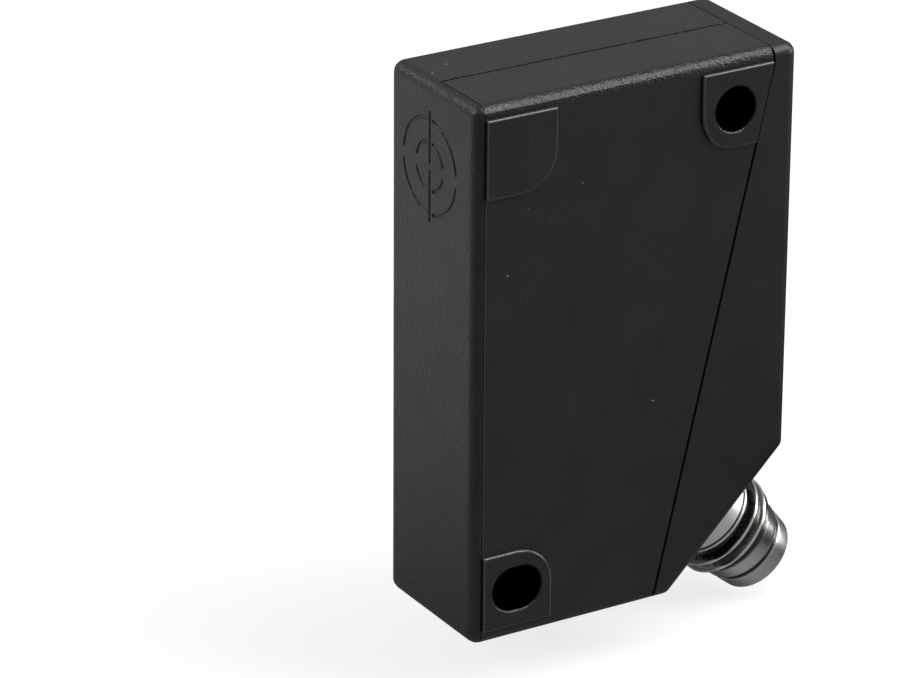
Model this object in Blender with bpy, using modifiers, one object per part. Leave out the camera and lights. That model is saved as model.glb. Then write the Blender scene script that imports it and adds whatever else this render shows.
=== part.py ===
"""Inductive proximity sensor in a 12 x 26 x 40 mm block housing, with an M8 plug at 45 degrees.

X runs across the broad face, with the sensing face at -X. Y is the depth, with the front at -Y.
Z runs up the housing. The origin is the centre of the housing's flat back.
"""

import math

import bmesh
import bpy
from mathutils import Matrix, Vector

MM = 0.001

# Housing
BODY_W = 26.0 * MM
BODY_D = 11.4 * MM
BODY_H = 40.0 * MM
EDGE_R = 0.8 * MM
CORNER_R = 0.82 * MM
WALL = 1.3 * MM
SENSE_WALL = 1.0 * MM
CHAMFER = 9.6 * MM
WEDGE_HEAD = 2.03 * MM
WEDGE_FOOT = 1.47 * MM
COVER_INSET = 0.9 * MM
SEAM = 0.17 * MM
FIT = 0.15 * MM
CLEAR = 0.3 * MM
LAP_T = 0.7 * MM
LAP_L = 1.5 * MM

# Screw holes and the pads round them
HOLE_D = 3.25 * MM
SLOT_LENGTH = 3.95 * MM
HOLE_FROM_SIDE = 5.3 * MM
HOLE_FROM_TOP = 3.85 * MM
SLOT_FROM_SIDE = 3.47 * MM
SLOT_FROM_BOTTOM = 3.93 * MM
TUBE_WALL = 0.8 * MM
MOUTH = 0.12 * MM
PAD_HALF = 2.85 * MM
PAD_RISE = 0.3 * MM

# Tongues of the plug block, which lie behind the slanted edges of cover and back
TONGUE_REACH = 1.2 * MM
TONGUE_ROOT = 2.0 * MM
TONGUE_FROM_POCKET = 0.5 * MM
TONGUE_FROM_TUBE = 2.0 * MM

# Plug: radii and wall thicknesses, and distances along its axis from the chamfer, positive outwards
THREAD_R = 3.95 * MM
THREAD_DEPTH = 0.59 * MM
THREAD_PITCH = 1.0 * MM
THREAD_FROM = 3.04 * MM
THREAD_TO = 5.84 * MM
NECK_STEP = 0.06 * MM
RELIEF_AT = 2.79 * MM
RELIEF_W = 0.15 * MM
BAND_END = 7.24 * MM
BAND_ROUND = 0.35 * MM
NOSE_WALL = 0.52 * MM
NOSE_END = 9.04 * MM
NOSE_EDGE = 0.15 * MM
GROOVE_W = 0.2 * MM
GROOVE_T = 0.12 * MM
SOCKET_WALL = 0.76 * MM
SOCKET_DEPTH = 7.0 * MM
SLEEVE_SEAT = 2.0 * MM
FLANGE_STEP = 0.8 * MM
FLANGE_T = 1.0 * MM
SEAL_R = 0.25 * MM
SEAL_FIT = 0.1 * MM
STOP_STEP = 0.6 * MM
STOP_T = 0.9 * MM
PIN_R = 0.5 * MM
PIN_FROM_SOCKET = 1.2 * MM
PIN_RECESS = 1.5 * MM
PIN_TAIL = 1.3 * MM
PIN_FIT = 0.1 * MM

# Sensing coil
CORE_FROM_LAP = 0.275 * MM
CORE_FROM_WALL = 0.725 * MM
CORE_L = 3.6 * MM
CORE_RIM = 0.775 * MM
CORE_WINDOW = 1.1 * MM
CORE_BORE_R = 0.5 * MM
CORE_BASE = 1.1 * MM
CORE_SLOT = 1.3 * MM
BOBBIN_WALL = 0.25 * MM
BOBBIN_FIT = 0.1 * MM
RIB_T = 0.8 * MM
COIL_WIRE_R = 0.12 * MM

# Circuit board
BOARD_T = 0.8 * MM
POST_L = 1.0 * MM
POST_W = 2.4 * MM
POST_H = 1.6 * MM
POST_FROM_SIDE = 0.8 * MM
POST_FROM_END = 1.6 * MM
BOARD_FROM_CORE = 0.7 * MM
BOARD_FROM_TOP = 1.0 * MM
BOARD_OVER_SLOT = 1.4 * MM
BOARD_FROM_SEAM = 2.2 * MM
BOARD_FROM_TUBE = 0.5 * MM
SOLDER = 0.1 * MM
LEAD_WIRE_R = 0.3 * MM
LEAD_PITCH = 1.2 * MM
LEAD_FROM_SIDE = 1.0 * MM
LEAD_FROM_END = 3.5 * MM

# Parts on the board: width, height and depth of each body, and the bent leads of the two chips
CHIP = (3.9 * MM, 4.9 * MM, 1.5 * MM)
CHIP_LEAD_PITCH = 1.27 * MM
CHIP_LEAD_REACH = 1.2 * MM
TRANSISTOR = (1.4 * MM, 2.9 * MM, 1.0 * MM)
TRANSISTOR_LEAD_PITCH = 1.9 * MM
TRANSISTOR_LEAD_REACH = 0.75 * MM
BENT_LEAD_W = 0.4 * MM
BENT_LEAD_T = 0.2 * MM
CHIP_EDGE = 0.1 * MM
SUPPLY_CAPACITOR = (1.6 * MM, 3.2 * MM, 1.3 * MM)
TUNING_CAPACITOR = (1.25 * MM, 2.0 * MM, 0.9 * MM)
RESISTOR = (0.8 * MM, 1.6 * MM, 0.45 * MM)
DIODE_R = 0.75 * MM
DIODE_L = 3.5 * MM
LED = (1.25 * MM, 2.0 * MM, 0.5 * MM)
LED_LENS_R = 0.5 * MM

RIGHT = BODY_W / 2
LEFT = -BODY_W / 2
FRONT = -BODY_D
MIDDLE = -BODY_D / 2
TOP = BODY_H / 2
BOTTOM = -BODY_H / 2
OVER = 2.0 * MM

HOLE = (RIGHT - HOLE_FROM_SIDE, TOP - HOLE_FROM_TOP)
SLOT = (LEFT + SLOT_FROM_SIDE, BOTTOM + SLOT_FROM_BOTTOM)
BLIND = (SLOT[0], HOLE[1])
SLOT_REACH = (SLOT_LENGTH - HOLE_D) / 2
TUBE_R = HOLE_D / 2 + TUBE_WALL
LAP_IN = WALL + FIT + LAP_T

SEAM_TOP = (RIGHT - WEDGE_HEAD, TOP - WALL)
SEAM_FOOT = (RIGHT - CHAMFER - WEDGE_FOOT, BOTTOM)
SEAM_SLOPE = (SEAM_TOP[0] - SEAM_FOOT[0]) / (SEAM_TOP[1] - SEAM_FOOT[1])

ROOT_R = THREAD_R - THREAD_DEPTH
NECK_R = ROOT_R - NECK_STEP
SOCKET_R = ROOT_R - SOCKET_WALL
NOSE_R = SOCKET_R + NOSE_WALL
FLANGE_R = NECK_R + FLANGE_STEP
FLANGE_AT = -(SLEEVE_SEAT + 2 * SEAL_R + 2 * SEAL_FIT)
SLEEVE_END = FLANGE_AT - FLANGE_T
PLUG_BASE = Vector((RIGHT - CHAMFER / 2, MIDDLE, BOTTOM + CHAMFER / 2))
PLUG_AXIS = Vector((1, 0, -1)).normalized()
PLUG_TURN = Matrix.Rotation(math.radians(135), 4, "Y")
PLUG_PLACE = Matrix.Translation(PLUG_BASE) @ PLUG_TURN

CORE_R = BODY_D / 2 - WALL - CORE_FROM_WALL
CORE_POST_R = CORE_R - CORE_RIM - CORE_WINDOW
CORE_AT = LEFT + SENSE_WALL + CLEAR
CORE_BACK = CORE_AT + CORE_L
COIL_Z = TOP - LAP_IN - CORE_FROM_LAP - CORE_R
COIL_PLACE = Matrix.Translation((CORE_AT, MIDDLE, COIL_Z)) @ Matrix.Rotation(math.radians(90), 4, "Y")

BOARD_BACK = -(WALL + POST_L + CLEAR)
BOARD_FRONT = BOARD_BACK - BOARD_T
BOARD_LEFT = CORE_BACK + BOARD_FROM_CORE
BOARD_TOP = TOP - WALL - BOARD_FROM_TOP
BOARD_BOTTOM = SLOT[1] + TUBE_R + BOARD_OVER_SLOT


def seam_x(z):
    """Where the slanted joint between cover and plug block lies at this height."""
    return SEAM_TOP[0] + min(0.0, z - SEAM_TOP[1]) * SEAM_SLOPE


for old in list(bpy.data.objects):
    bpy.data.objects.remove(old, do_unlink=True)

PARTS = bpy.data.collections.new("inductive_proximity_sensor")
CUTTERS = bpy.data.collections.new("cutters")
for group in (PARTS, CUTTERS):
    bpy.context.scene.collection.children.link(group)


# Materials


def material(name, color, roughness, metallic=0.0):
    made = bpy.data.materials.new(name)
    made.use_nodes = True
    shader = made.node_tree.nodes["Principled BSDF"]
    shader.inputs["Base Color"].default_value = (*color, 1.0)
    shader.inputs["Roughness"].default_value = roughness
    shader.inputs["Metallic"].default_value = metallic
    return made


# Modelling tools


def add(name, mesh, place=None):
    obj = bpy.data.objects.new(name, mesh)
    CUTTERS.objects.link(obj)
    obj.hide_render = True
    obj.display_type = "WIRE"
    if place is not None:
        obj.matrix_world = place
    return obj


def part(obj, color, roughness, metallic=0.0):
    """Make a helper a finished piece, with a material of its own."""
    CUTTERS.objects.unlink(obj)
    PARTS.objects.link(obj)
    obj.hide_render = False
    obj.display_type = "TEXTURED"
    obj.data.materials.clear()
    obj.data.materials.append(material(obj.name, color, roughness, metallic))
    return obj


def from_bmesh(name, bm, place=None):
    bmesh.ops.recalc_face_normals(bm, faces=bm.faces)
    mesh = bpy.data.meshes.new(name)
    bm.to_mesh(mesh)
    bm.free()
    return add(name, mesh, place)


def block(name, xs, ys, zs):
    bm = bmesh.new()
    bmesh.ops.create_cube(bm, size=1.0)
    size = [high - low for low, high in (xs, ys, zs)]
    middle = [(high + low) / 2 for low, high in (xs, ys, zs)]
    bmesh.ops.scale(bm, vec=size, verts=bm.verts)
    bmesh.ops.translate(bm, vec=middle, verts=bm.verts)
    return from_bmesh(name, bm)


def arc(centre, radius, start, end, steps):
    """Points on a circle from one angle to another, in degrees."""
    points = []
    for i in range(steps + 1):
        angle = math.radians(start + (end - start) * i / steps)
        points.append((centre[0] + radius * math.cos(angle), centre[1] + radius * math.sin(angle)))
    return points


def rounded(corners, radius, steps=4):
    """The outline of a convex polygon, listed anticlockwise, with its corners rounded."""
    points = []
    count = len(corners)
    for i, corner in enumerate(corners):
        here = Vector(corner)
        before = (Vector(corners[i - 1]) - here).normalized()
        after = (Vector(corners[(i + 1) % count]) - here).normalized()
        half = before.angle(after) / 2
        centre = here + (before + after).normalized() * radius / math.sin(half)
        touch = here + before * radius / math.tan(half) - centre
        start = math.degrees(math.atan2(touch.y, touch.x))
        points += arc(centre, radius, start, start + 180 - 2 * math.degrees(half), steps)
    return points


def slot_outline(centre, radius, reach, steps=16):
    """A slot lying along X: two half circles, or one circle where reach is nothing."""
    if reach <= 0:
        return arc(centre, radius, 0, 360, 2 * steps)[:-1]
    right = arc((centre[0] + reach, centre[1]), radius, -90, 90, steps)
    left = arc((centre[0] - reach, centre[1]), radius, 90, 270, steps)
    return right + left


def plate(name, outline, ys):
    """A flat outline in X and Z, extruded through a range of Y, as a closed mesh."""
    curve = bpy.data.curves.new(name, "CURVE")
    curve.dimensions = "2D"
    curve.fill_mode = "BOTH"
    curve.extrude = (ys[1] - ys[0]) / 2
    spline = curve.splines.new("POLY")
    spline.points.add(len(outline) - 1)
    for point, (x, z) in zip(spline.points, outline):
        point.co = (x, z, 0, 1)
    spline.use_cyclic_u = True
    turn = Matrix.Rotation(math.radians(90), 4, "X")
    drawn = add(name + "_outline", curve, Matrix.Translation((0, sum(ys) / 2, 0)) @ turn)
    return meshed(name, drawn, flat_ends=True)


def meshed(name, drawn, flat_ends=False):
    """The closed mesh of a curve object, which it replaces. Flat ends are made one face each."""
    bpy.context.view_layer.update()
    graph = bpy.context.evaluated_depsgraph_get()
    mesh = bpy.data.meshes.new_from_object(drawn.evaluated_get(graph))
    bm = bmesh.new()
    bm.from_mesh(mesh)
    bmesh.ops.remove_doubles(bm, verts=bm.verts, dist=1e-6)
    if flat_ends:
        bmesh.ops.dissolve_limit(bm, angle_limit=math.radians(1), verts=bm.verts, edges=bm.edges)
    bmesh.ops.recalc_face_normals(bm, faces=bm.faces)
    bm.to_mesh(mesh)
    bm.free()
    place = drawn.matrix_world.copy()
    bpy.data.objects.remove(drawn, do_unlink=True)
    return add(name, mesh, place)


def turned(name, profile, place, steps=32):
    """A ring-shaped solid: a closed profile of (radius, height), top to bottom outside, round Z."""
    bm = bmesh.new()
    verts = [bm.verts.new((radius, 0, height)) for radius, height in profile]
    for i, vert in enumerate(verts):
        bm.edges.new((vert, verts[(i + 1) % len(verts)]))
    mesh = bpy.data.meshes.new(name)
    bm.to_mesh(mesh)
    bm.free()
    obj = add(name, mesh, place)
    screw = obj.modifiers.new("Screw", "SCREW")
    screw.steps = steps
    screw.render_steps = steps
    screw.use_merge_vertices = True
    screw.merge_threshold = 1e-6
    return obj


def cylinder(name, radius, low, high, place, steps=32):
    """A round bar along local Z."""
    bm = bmesh.new()
    bmesh.ops.create_cone(
        bm, cap_ends=True, segments=steps, radius1=radius, radius2=radius, depth=high - low
    )
    bmesh.ops.translate(bm, vec=(0, 0, (low + high) / 2), verts=bm.verts)
    return from_bmesh(name, bm, place)


def hull(name, outlines):
    """The convex solid over flat outlines given as (outline, y)."""
    bm = bmesh.new()
    for outline, y in outlines:
        for x, z in outline:
            bm.verts.new((x, y, z))
    bmesh.ops.convex_hull(bm, input=bm.verts)
    return from_bmesh(name, bm)


def boolean(obj, other, operation):
    modifier = obj.modifiers.new(other.name, "BOOLEAN")
    modifier.operation = operation
    modifier.object = other


def cut(obj, *others):
    for other in others:
        boolean(obj, other, "DIFFERENCE")


def join(obj, *others):
    for other in others:
        boolean(obj, other, "UNION")


def bevel(obj, width, segments=1):
    modifier = obj.modifiers.new("Bevel", "BEVEL")
    modifier.width = width
    modifier.segments = segments
    modifier.limit_method = "ANGLE"


def smooth(obj):
    obj.data.shade_smooth()


def wire(name, ends, leave, arrive, radius, steps=10):
    """A bent wire between two points, leaving and arriving along given directions."""
    start, end = (Vector(end) for end in ends)
    bend = (end - start).length / 2
    handles = (start, start + Vector(leave) * bend, end - Vector(arrive) * bend, end)
    curve = bpy.data.curves.new(name, "CURVE")
    curve.dimensions = "3D"
    curve.bevel_depth = radius
    curve.bevel_resolution = 2
    curve.use_fill_caps = True
    spline = curve.splines.new("POLY")
    spline.points.add(steps)
    for i, point in enumerate(spline.points):
        t = i / steps
        weights = ((1 - t) ** 3, 3 * t * (1 - t) ** 2, 3 * t * t * (1 - t), t**3)
        place = sum((handle * weight for handle, weight in zip(handles, weights)), Vector())
        point.co = (*place, 1)
    return meshed(name, add(name + "_path", curve))


# Outer form, shared by the three housing pieces

corners = [
    (LEFT, BOTTOM),
    (RIGHT - CHAMFER, BOTTOM),
    (RIGHT, BOTTOM + CHAMFER),
    (RIGHT, TOP),
    (LEFT, TOP),
]
outer_form = plate("outer_form", rounded(corners, CORNER_R), (FRONT, 0))
bevel(outer_form, EDGE_R, 4)

seam_low = BOTTOM - OVER
seam_high = TOP + OVER


def plug_side(name, shift, ys):
    """Everything to the right of the slanted joint, moved sideways by shift."""
    line = [(seam_x(seam_low) + shift, seam_low), (SEAM_TOP[0] + shift, SEAM_TOP[1])]
    line.append((SEAM_TOP[0] + shift, seam_high))
    far = RIGHT + OVER
    return plate(name, [line[0], (far, seam_low), (far, seam_high), line[2], line[1]], ys)


plug_side_cut = plug_side("plug_side_cut", -SEAM / 2, (FRONT - OVER, OVER))


# Screw holes and pads


def pad_outline(centre, rounding, reach):
    """A square round a screw hole: one corner rounded, and the far side carried on to reach."""
    x, z = centre
    sign_x, sign_z = rounding
    start = 0 if sign_x > 0 else 180
    quarter = 90 * sign_x * sign_z
    return [
        (reach, z + sign_z * PAD_HALF),
        (reach, z - sign_z * PAD_HALF),
        (x + sign_x * PAD_HALF, z - sign_z * PAD_HALF),
        *arc(centre, PAD_HALF, start, start + quarter, 6),
    ]


def pads(side, left, ys):
    """Three raised pads: round the hole, round the slot, and one without a hole."""
    return (
        plate(side + "_pad_hole", pad_outline(HOLE, (-1, -1), RIGHT + OVER), ys),
        plate(side + "_pad_slot", pad_outline(SLOT, (1, 1), left), ys),
        plate(side + "_pad_blind", pad_outline(BLIND, (1, -1), left), ys),
    )


def screw_cutter(name, centre, reach):
    """A through hole with a slight flare at each pad."""
    near = slot_outline(centre, HOLE_D / 2, reach)
    wide = slot_outline(centre, HOLE_D / 2 + MOUTH, reach)
    front = FRONT - PAD_RISE
    back = PAD_RISE
    through = plate(name, near, (front - OVER, back + OVER))
    front_mouth = hull(name + "_front", [(wide, front - OVER), (wide, front), (near, front + MOUTH)])
    back_mouth = hull(name + "_back", [(wide, back + OVER), (wide, back), (near, back - MOUTH)])
    return through, front_mouth, back_mouth


hole_cutters = screw_cutter("hole_cut", HOLE, 0) + screw_cutter("slot_cut", SLOT, SLOT_REACH)


# Rear housing: the back, the sensing wall and the back halves of top and bottom

ALL_X = (LEFT - OVER, RIGHT + OVER)
ALL_Y = (FRONT - OVER, OVER)
ALL_Z = (BOTTOM - OVER, TOP + OVER)
INSIDE_Z = (BOTTOM + WALL, TOP - WALL)
RIGHTWARDS = (LEFT + WALL / 2, RIGHT + OVER)
INTO_BACK = -WALL / 2


def rear_housing():
    body = block("rear_housing", ALL_X, ALL_Y, ALL_Z)
    boolean(body, outer_form, "INTERSECT")
    cut(body, block("cavity", (LEFT + WALL, RIGHT + OVER), (FRONT + WALL, -WALL), INSIDE_Z))

    beside_cover = (LEFT + COVER_INSET - SEAM, RIGHT + OVER)
    cut(body, block("plate_room", beside_cover, (FRONT - OVER, FRONT + WALL + SEAM), ALL_Z))
    for end, sign in (("top", 1), ("bottom", -1)):
        room_zs = sorted((sign * (TOP - WALL - FIT), sign * (TOP + OVER)))
        cut(body, block(end + "_flange_room", beside_cover, (FRONT - OVER, MIDDLE + SEAM), room_zs))
        lap_zs = sorted((sign * (TOP - WALL - FIT), sign * (TOP - LAP_IN)))
        root_zs = sorted((sign * (TOP - WALL / 2), sign * (TOP - LAP_IN + LAP_T / 2)))
        join(
            body,
            block(end + "_lap", RIGHTWARDS, (MIDDLE - LAP_L, INTO_BACK), lap_zs),
            block(end + "_lap_root", RIGHTWARDS, (MIDDLE + SEAM, INTO_BACK), root_zs),
        )

    near_cover = FRONT + WALL + CLEAR
    for name, centre, reach in (("hole", HOLE, 0), ("slot", SLOT, SLOT_REACH)):
        outline = slot_outline(centre, TUBE_R, reach)
        join(body, plate(name + "_tube", outline, (near_cover, INTO_BACK)))
    join(body, *pads("rear", LEFT + COVER_INSET, (INTO_BACK, PAD_RISE)))

    rib_xs = (LEFT + WALL / 2, CORE_BACK)
    rib_ys = (near_cover, INTO_BACK)
    above = COIL_Z + CORE_R + FIT
    below = COIL_Z - CORE_R - FIT
    join(body, block("upper_rib", rib_xs, rib_ys, (above, TOP - LAP_IN + LAP_T / 2)))
    join(body, block("lower_rib", rib_xs, rib_ys, (below - RIB_T, below)))
    pocket_depth = (SENSE_WALL + LEFT - CORE_AT, CORE_L + CLEAR)
    cut(body, cylinder("core_pocket", CORE_R + FIT, *pocket_depth, COIL_PLACE))

    post_xs = (BOARD_LEFT + POST_FROM_SIDE, BOARD_LEFT + POST_FROM_SIDE + POST_W)
    post_ys = (-WALL - POST_L, INTO_BACK)
    high = BOARD_TOP - POST_FROM_END
    low = BOARD_BOTTOM + POST_FROM_END
    join(body, block("upper_post", post_xs, post_ys, (high - POST_H, high)))
    join(body, block("lower_post", post_xs, post_ys, (low, low + POST_H)))

    cut(body, plug_side_cut, *hole_cutters)
    return part(body, (0.018, 0.018, 0.02), 0.6)


def front_cover():
    cover = block("front_cover", ALL_X, (FRONT - OVER, MIDDLE), ALL_Z)
    boolean(cover, outer_form, "INTERSECT")
    join(cover, *pads("front", LEFT - OVER, (FRONT - PAD_RISE, FRONT + WALL / 2)))
    cut(cover, block("cover_left", (LEFT - 2 * OVER, LEFT + COVER_INSET), ALL_Y, ALL_Z))
    cut(cover, block("cover_room", ALL_X, (FRONT + WALL, OVER), INSIDE_Z))
    cut(cover, plug_side_cut, *hole_cutters)
    return part(cover, (0.018, 0.018, 0.02), 0.6)


# Plug block: the wedge that closes the right side and carries the plug

POCKET_LOW = BOTTOM + CHAMFER + FLANGE_R
TONGUE_LOW = POCKET_LOW + TONGUE_FROM_POCKET
TONGUE_HIGH = HOLE[1] - TUBE_R - TONGUE_FROM_TUBE


def tongue(name, ys):
    outline = [
        (seam_x(TONGUE_LOW) - TONGUE_REACH, TONGUE_LOW),
        (seam_x(TONGUE_LOW) + TONGUE_ROOT, TONGUE_LOW),
        (seam_x(TONGUE_HIGH) + TONGUE_ROOT, TONGUE_HIGH),
        (seam_x(TONGUE_HIGH) - TONGUE_REACH, TONGUE_HIGH),
    ]
    return plate(name, outline, ys)


def plug_block():
    body = plug_side("plug_block", SEAM / 2, ALL_Y)
    boolean(body, outer_form, "INTERSECT")
    join(
        body,
        tongue("front_tongue", (FRONT + WALL + FIT, FRONT + LAP_IN + FIT)),
        tongue("back_tongue", (-LAP_IN - FIT, -WALL - FIT)),
    )
    pocket_ys = (FRONT + LAP_IN, -LAP_IN)
    cut(
        body,
        block("plug_pocket", (LEFT, RIGHT - WALL), pocket_ys, (POCKET_LOW, TOP - WALL)),
        cylinder("flange_room", FLANGE_R + FIT, -SLEEVE_SEAT - CHAMFER, -SLEEVE_SEAT, PLUG_PLACE, 48),
        cylinder("plug_bore", NECK_R + FIT, -CHAMFER, CHAMFER, PLUG_PLACE, 48),
    )
    return part(body, (0.012, 0.012, 0.013), 0.4)


# Plug


def thread_ridge():
    """Right-hand 60 degree ridge of the plug's thread, tapered at both ends by a turned envelope."""
    half_crest = THREAD_PITCH / 16
    half_root = half_crest + THREAD_DEPTH * math.tan(math.radians(30))
    sunk = ROOT_R - GROOVE_T
    first = THREAD_FROM - THREAD_PITCH
    turns = (THREAD_TO - THREAD_FROM) / THREAD_PITCH + 2
    section = [
        (sunk, -half_root),
        (ROOT_R, -half_root),
        (THREAD_R, -half_crest),
        (THREAD_R, half_crest),
        (ROOT_R, half_root),
        (sunk, half_root),
    ]
    bm = bmesh.new()
    face = bm.faces.new([bm.verts.new((r, 0, first + z)) for r, z in section])
    per_turn = 32
    steps = round(per_turn * turns)
    bmesh.ops.spin(
        bm,
        geom=[face, *face.edges, *face.verts],
        cent=(0, 0, 0),
        axis=(0, 0, 1),
        dvec=(0, 0, THREAD_PITCH / per_turn),
        angle=2 * math.pi * steps / per_turn,
        steps=steps,
    )
    ridge = from_bmesh("thread_ridge", bm, PLUG_PLACE)
    slope = THREAD_R - sunk
    envelope = [
        (sunk - GROOVE_T, THREAD_TO),
        (sunk, THREAD_TO),
        (THREAD_R + GROOVE_T, THREAD_TO - slope),
        (THREAD_R + GROOVE_T, THREAD_FROM + slope),
        (sunk, THREAD_FROM),
        (sunk - GROOVE_T, THREAD_FROM),
    ]
    boolean(ridge, turned("thread_envelope", envelope, PLUG_PLACE, 64), "INTERSECT")
    return ridge


def connector_sleeve():
    round_centre = (ROOT_R - BAND_ROUND, BAND_END - BAND_ROUND)
    outside = [
        (NOSE_R - NOSE_EDGE, NOSE_END),
        (NOSE_R, NOSE_END - NOSE_EDGE),
        (NOSE_R, BAND_END + GROOVE_W),
        (NOSE_R - GROOVE_T, BAND_END + GROOVE_W),
        (NOSE_R - GROOVE_T, BAND_END),
        *arc(round_centre, BAND_ROUND, 90, 0, 4),
        (ROOT_R, RELIEF_AT + RELIEF_W),
        (NECK_R - GROOVE_T, RELIEF_AT + RELIEF_W),
        (NECK_R - GROOVE_T, RELIEF_AT),
        (NECK_R, RELIEF_AT),
        (NECK_R, FLANGE_AT),
        (FLANGE_R, FLANGE_AT),
        (FLANGE_R, SLEEVE_END),
    ]
    bore = [(SOCKET_R, SLEEVE_END), (SOCKET_R, NOSE_END - NOSE_EDGE), (SOCKET_R + NOSE_EDGE, NOSE_END)]
    sleeve = turned("connector_sleeve", outside + bore, PLUG_PLACE, 48)
    join(sleeve, thread_ridge())
    smooth(sleeve)
    return part(sleeve, (0.62, 0.61, 0.58), 0.22, 1.0)


def seal_ring():
    centre = (NECK_R + SEAL_FIT + SEAL_R, -SLEEVE_SEAT - SEAL_FIT - SEAL_R)
    section = arc(centre, SEAL_R, 90, -270, 10)[:-1]
    ring = turned("seal_ring", section, PLUG_PLACE, 32)
    smooth(ring)
    return part(ring, (0.02, 0.02, 0.02), 0.7)


CARRIER_FACE = NOSE_END - SOCKET_DEPTH
STOP_AT = SLEEVE_END - CLEAR
CARRIER_END = STOP_AT - STOP_T
PIN_CIRCLE = SOCKET_R - PIN_FROM_SOCKET
PIN_ANGLES = {"1": 210, "3": 330, "4": 90}


def pin_place(angle):
    turn = math.radians(angle)
    return PLUG_PLACE @ Matrix.Translation((PIN_CIRCLE * math.cos(turn), PIN_CIRCLE * math.sin(turn), 0))


def pin_carrier():
    body = cylinder("pin_carrier", SOCKET_R - FIT, CARRIER_END, CARRIER_FACE, PLUG_PLACE, 32)
    join(body, cylinder("carrier_stop", SOCKET_R + STOP_STEP, CARRIER_END, STOP_AT, PLUG_PLACE, 32))
    for number, angle in PIN_ANGLES.items():
        low = CARRIER_END - OVER
        high = CARRIER_FACE + OVER
        cut(body, cylinder("pin_hole_" + number, PIN_R + PIN_FIT, low, high, pin_place(angle), 16))
    return part(body, (0.02, 0.02, 0.02), 0.5)


def contact_pin(number, angle):
    """A round pin, rounded at its tip and tail."""
    low = CARRIER_END - PIN_TAIL
    high = NOSE_END - PIN_RECESS
    pin = cylinder("contact_pin_" + number, PIN_R, low, high, pin_place(angle), 16)
    bevel(pin, PIN_R / 2, 2)
    smooth(pin)
    return part(pin, (0.85, 0.62, 0.25), 0.25, 1.0)


# Sensing coil: pot core, bobbin, winding and its two leads

WINDOW_R = CORE_R - CORE_RIM
WINDOW_L = CORE_L - CORE_BASE


def ferrite_core():
    profile = [
        (CORE_BORE_R, CORE_L),
        (CORE_R, CORE_L),
        (CORE_R, 0),
        (WINDOW_R, 0),
        (WINDOW_R, WINDOW_L),
        (CORE_POST_R, WINDOW_L),
        (CORE_POST_R, 0),
        (CORE_BORE_R, 0),
    ]
    core = turned("ferrite_core", profile, COIL_PLACE, 32)
    lead_slot = block(
        "lead_slot",
        (CORE_AT + WINDOW_L / 2, CORE_BACK + OVER),
        (MIDDLE - CORE_SLOT / 2, MIDDLE + CORE_SLOT / 2),
        (COIL_Z - CORE_R - OVER, COIL_Z - CORE_POST_R - BOBBIN_FIT),
    )
    cut(core, lead_slot)
    return part(core, (0.05, 0.048, 0.046), 0.55)


BOBBIN_R = CORE_POST_R + BOBBIN_FIT
BOBBIN_RIM = WINDOW_R - BOBBIN_FIT
BOBBIN_END = WINDOW_L - BOBBIN_FIT


def coil_bobbin():
    profile = [
        (BOBBIN_R, BOBBIN_END),
        (BOBBIN_RIM, BOBBIN_END),
        (BOBBIN_RIM, BOBBIN_END - BOBBIN_WALL),
        (BOBBIN_R + BOBBIN_WALL, BOBBIN_END - BOBBIN_WALL),
        (BOBBIN_R + BOBBIN_WALL, BOBBIN_FIT + BOBBIN_WALL),
        (BOBBIN_RIM, BOBBIN_FIT + BOBBIN_WALL),
        (BOBBIN_RIM, BOBBIN_FIT),
        (BOBBIN_R, BOBBIN_FIT),
    ]
    bobbin = turned("coil_bobbin", profile, COIL_PLACE, 32)
    notch = block(
        "bobbin_notch",
        (CORE_AT + WINDOW_L / 2, CORE_BACK),
        (MIDDLE - CORE_SLOT / 2, MIDDLE + CORE_SLOT / 2),
        (COIL_Z - CORE_R, COIL_Z - BOBBIN_R - BOBBIN_WALL - BOBBIN_FIT),
    )
    cut(bobbin, notch)
    return part(bobbin, (0.75, 0.72, 0.62), 0.5)


WINDING_IN = BOBBIN_R + BOBBIN_WALL + BOBBIN_FIT
WINDING_OUT = BOBBIN_RIM - BOBBIN_FIT
WINDING_ENDS = (BOBBIN_FIT + BOBBIN_WALL + BOBBIN_FIT, BOBBIN_END - BOBBIN_WALL - BOBBIN_FIT)


def coil_winding():
    low, high = WINDING_ENDS
    profile = [(WINDING_IN, high), (WINDING_OUT, high), (WINDING_OUT, low), (WINDING_IN, low)]
    winding = turned("coil_winding", profile, COIL_PLACE, 32)
    smooth(winding)
    return part(winding, (0.45, 0.16, 0.06), 0.35, 1.0)


def coil_lead(name, side):
    """Enamelled wire from the winding, through the core's slot, to the board's edge."""
    start = Vector((CORE_AT + WINDING_ENDS[1] + BOBBIN_FIT, MIDDLE + side * CORE_SLOT / 4, 0))
    start.z = COIL_Z - (WINDING_IN + WINDING_OUT) / 2
    end = Vector((BOARD_LEFT + BOARD_T, BOARD_FRONT - SOLDER, start.z + side * CORE_SLOT / 2))
    lead = wire(name, (start, end), (1, 0, 0), (0, 1, 0), COIL_WIRE_R)
    smooth(lead)
    return part(lead, (0.5, 0.2, 0.08), 0.35, 1.0)


# Circuit board and what is soldered to it


def board_right(z):
    """The board's right edge follows the slanted joint and stays clear of the screw tube."""
    return min(seam_x(z) - BOARD_FROM_SEAM, HOLE[0] - TUBE_R - BOARD_FROM_TUBE)


def circuit_board():
    bend_x = HOLE[0] - TUBE_R - BOARD_FROM_TUBE
    bend_z = SEAM_TOP[1] - (SEAM_TOP[0] - BOARD_FROM_SEAM - bend_x) / SEAM_SLOPE
    outline = [
        (BOARD_LEFT, BOARD_BOTTOM),
        (board_right(BOARD_BOTTOM), BOARD_BOTTOM),
        (bend_x, bend_z),
        (bend_x, BOARD_TOP),
        (BOARD_LEFT, BOARD_TOP),
    ]
    board = plate("circuit_board", outline, (BOARD_FRONT, BOARD_BACK))
    return part(board, (0.02, 0.16, 0.07), 0.45)


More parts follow.
